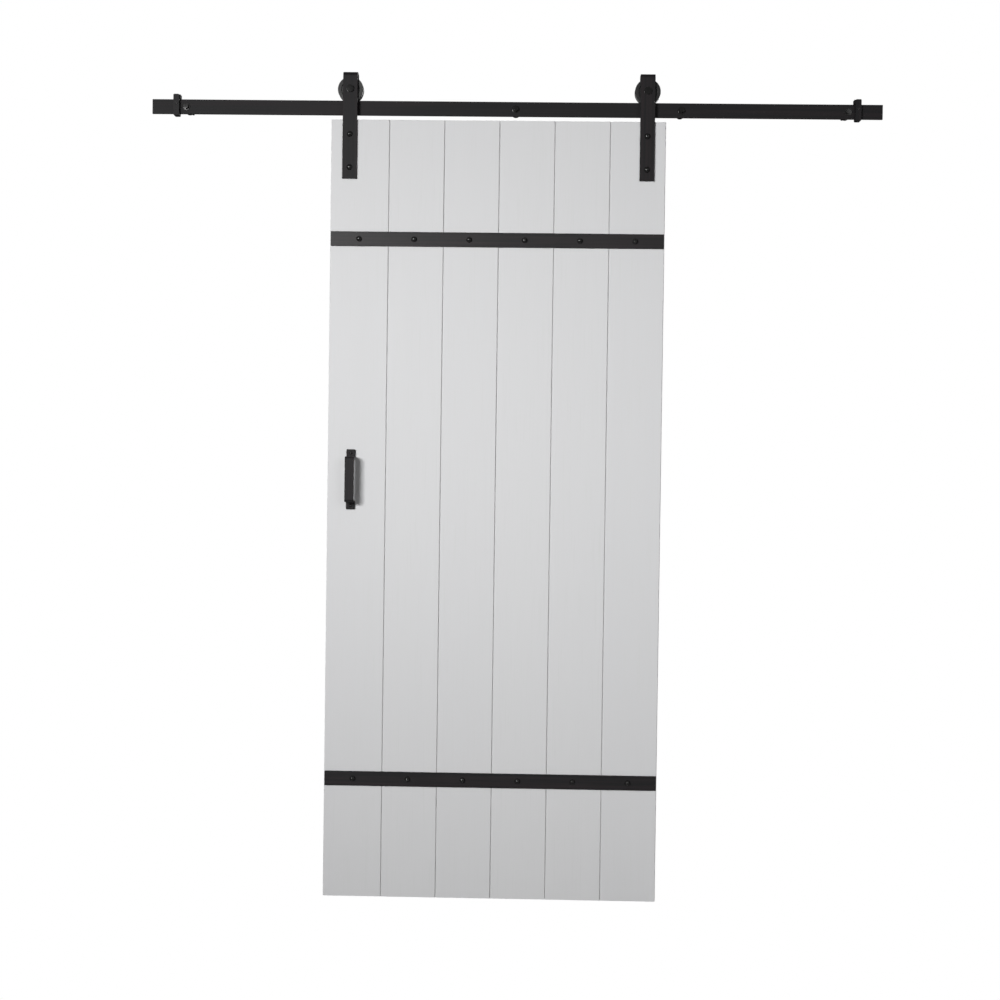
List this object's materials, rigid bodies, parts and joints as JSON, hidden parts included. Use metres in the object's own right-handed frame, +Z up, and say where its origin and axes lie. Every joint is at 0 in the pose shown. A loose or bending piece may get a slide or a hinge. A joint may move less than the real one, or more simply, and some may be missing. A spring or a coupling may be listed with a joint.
{
  "type": "sliding barn door",
  "caption": "Sliding barn door of upright boards with flat black straps and a pull handle, hung on grooved wheels from a flat wall rail with end stops.",
  "frame": {"origin": "on the axis of the rail's middle lag screw, in the plane of the wall", "axes": "+X along the rail to the right as seen from the room, +Y into the wall, +Z up; the room side is -Y"},
  "size_m": [2, 0.144, 2.2651],
  "materials": {
    "painted_boards": "satin white paint over fine sawn grain",
    "black_strap": "satin black powder coat",
    "black_rail": "satin black powder coat",
    "black_fasteners": "satin black",
    "zinc_fasteners": "zinc plated",
    "bearing_steel": "ground steel",
    "nylon_wheel": "black nylon with turned marks",
    "rubber_bumper": "matt rubber"
  },
  "bodies": {
    "rail": {"rail": "black_rail", "rail_spacers": "black_rail", "rail_lags": "black_fasteners", "rail_washers": "black_fasteners", "left_stop": "black_rail", "right_stop": "black_rail", "left_stop_bumper": "rubber_bumper", "right_stop_bumper": "rubber_bumper", "left_stop_screw": "black_fasteners", "right_stop_screw": "black_fasteners"},
    "door": {"plank_1": "painted_boards", "plank_2": "painted_boards", "plank_3": "painted_boards", "plank_4": "painted_boards", "plank_5": "painted_boards", "plank_6": "painted_boards", "upper_strap": "black_strap", "lower_strap": "black_strap", "upper_strap_screws": "black_fasteners", "lower_strap_screws": "black_fasteners", "handle": "black_strap", "handle_screws": "black_fasteners", "left_axle_bolt": "black_fasteners", "left_axle_nut": "zinc_fasteners", "left_axle_bushes": "bearing_steel", "left_bearing_inner_ring": "bearing_steel", "left_hanger": "black_strap", "left_hanger_bolts": "black_fasteners", "left_hanger_washers": "zinc_fasteners", "left_hanger_nuts": "zinc_fasteners", "right_axle_bolt": "black_fasteners", "right_axle_nut": "zinc_fasteners", "right_axle_bushes": "bearing_steel", "right_bearing_inner_ring": "bearing_steel", "right_hanger": "black_strap", "right_hanger_bolts": "black_fasteners", "right_hanger_washers": "zinc_fasteners", "right_hanger_nuts": "zinc_fasteners"},
    "left_wheel": {"left_wheel": "nylon_wheel", "left_bearing_outer_ring": "bearing_steel", "left_bearing_balls": "bearing_steel"},
    "right_wheel": {"right_wheel": "nylon_wheel", "right_bearing_outer_ring": "bearing_steel", "right_bearing_balls": "bearing_steel"}
  },
  "joints": [
    {"name": "door_slide", "type": "slide", "parent": "rail", "child": "door", "axis": [1, 0, 0], "range_m": [-0.4376, 0.5304]},
    {"name": "left_wheel_roll", "type": "hinge", "parent": "door", "child": "left_wheel", "pos_m": [-0.4528, -0.043, 0.0491], "axis": [0, 1, 0], "continuous": true},
    {"name": "right_wheel_roll", "type": "hinge", "parent": "door", "child": "right_wheel", "pos_m": [0.36, -0.043, 0.0491], "axis": [0, 1, 0], "continuous": true}
  ],
  "couplings": [
    {"joint": "left_wheel_roll", "follows": "door_slide", "rad_per_m": 34.483},
    {"joint": "right_wheel_roll", "follows": "door_slide", "rad_per_m": 34.483}
  ]
}
